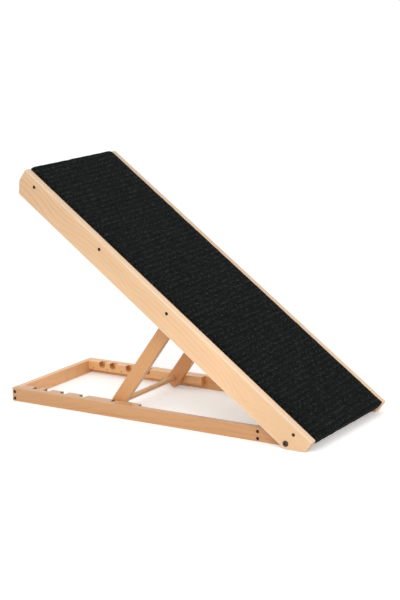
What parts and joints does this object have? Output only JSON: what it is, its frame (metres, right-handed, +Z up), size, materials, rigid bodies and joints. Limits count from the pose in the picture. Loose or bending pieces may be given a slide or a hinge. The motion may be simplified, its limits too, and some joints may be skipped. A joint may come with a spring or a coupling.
{
  "type": "folding pet ramp",
  "caption": "Folding wooden pet ramp: a carpeted deck hinged at the foot of a low base frame and propped by a leg frame whose rod drops into notched racks.",
  "frame": {"origin": "on the floor under the middle of the whole ramp, as it stands at its steepest setting", "axes": "+X along the ramp from its raised end down to its foot, +Y across it to its right-hand side as seen when looking from the foot up the slope, +Z up"},
  "size_m": [0.8988, 0.3986, 0.6185],
  "materials": {
    "deck_wood": "clear lacquered pale pine",
    "base_wood": "clear lacquered orange-tan pine",
    "leg_wood": "clear lacquered orange-tan pine",
    "panel_wood": "thin plywood, unfinished",
    "carpet": "black ribbed needle-felt carpet",
    "dark_steel": "browned steel",
    "zinc_steel": "dull zinc plate"
  },
  "bodies": {
    "base": {"base_rail_left": "base_wood", "base_rail_right": "base_wood", "front_rail": "base_wood", "front_rail_lower_screw_left": "dark_steel", "front_rail_lower_screw_right": "dark_steel", "front_rail_upper_screw_left": "dark_steel", "front_rail_upper_screw_right": "dark_steel", "pivot_bolt_left": "dark_steel", "pivot_bolt_right": "dark_steel", "pivot_nut_left": "dark_steel", "pivot_nut_right": "dark_steel", "rack_left": "base_wood", "rack_nail_1_left": "zinc_steel", "rack_nail_1_right": "zinc_steel", "rack_nail_2_left": "zinc_steel", "rack_nail_2_right": "zinc_steel", "rack_nail_3_left": "zinc_steel", "rack_nail_3_right": "zinc_steel", "rack_nail_4_left": "zinc_steel", "rack_nail_4_right": "zinc_steel", "rack_right": "base_wood", "rear_rail": "base_wood", "rear_rail_lower_screw_left": "dark_steel", "rear_rail_lower_screw_right": "dark_steel", "rear_rail_upper_screw_left": "dark_steel", "rear_rail_upper_screw_right": "dark_steel"},
    "deck": {"carpet_mat": "carpet", "deck_panel": "panel_wood", "deck_rail_left": "deck_wood", "deck_rail_right": "deck_wood", "foot_batten": "base_wood", "foot_batten_screw_left": "dark_steel", "foot_batten_screw_right": "dark_steel", "hinge_deck_screw_1_left": "zinc_steel", "hinge_deck_screw_1_right": "zinc_steel", "hinge_deck_screw_2_left": "zinc_steel", "hinge_deck_screw_2_right": "zinc_steel", "hinge_leaf_deck_left": "zinc_steel", "hinge_leaf_deck_right": "zinc_steel", "hinge_pin_left": "zinc_steel", "hinge_pin_right": "zinc_steel", "leg_batten": "base_wood", "leg_batten_screw_left": "dark_steel", "leg_batten_screw_right": "dark_steel", "middle_batten": "base_wood", "middle_batten_screw_left": "dark_steel", "middle_batten_screw_right": "dark_steel", "top_batten": "base_wood", "top_batten_screw_left": "dark_steel", "top_batten_screw_right": "dark_steel"},
    "legs": {"hinge_leaf_leg_left": "zinc_steel", "hinge_leaf_leg_right": "zinc_steel", "hinge_leg_screw_1_left": "zinc_steel", "hinge_leg_screw_1_right": "zinc_steel", "hinge_leg_screw_2_left": "zinc_steel", "hinge_leg_screw_2_right": "zinc_steel", "leg_left": "leg_wood", "leg_right": "leg_wood", "leg_rod": "leg_wood"}
  },
  "joints": [
    {"name": "deck_hinge", "type": "hinge", "parent": "base", "child": "deck", "pos_m": [0.37762, 0, 0.0144], "axis": [0, 1, 0], "range_deg": [-35.24, 0]},
    {"name": "leg_fold", "type": "hinge", "parent": "deck", "child": "legs", "pos_m": [0.02983, 0, 0.29459], "axis": [0, -1, 0], "range_deg": [-90, 0]}
  ]
}
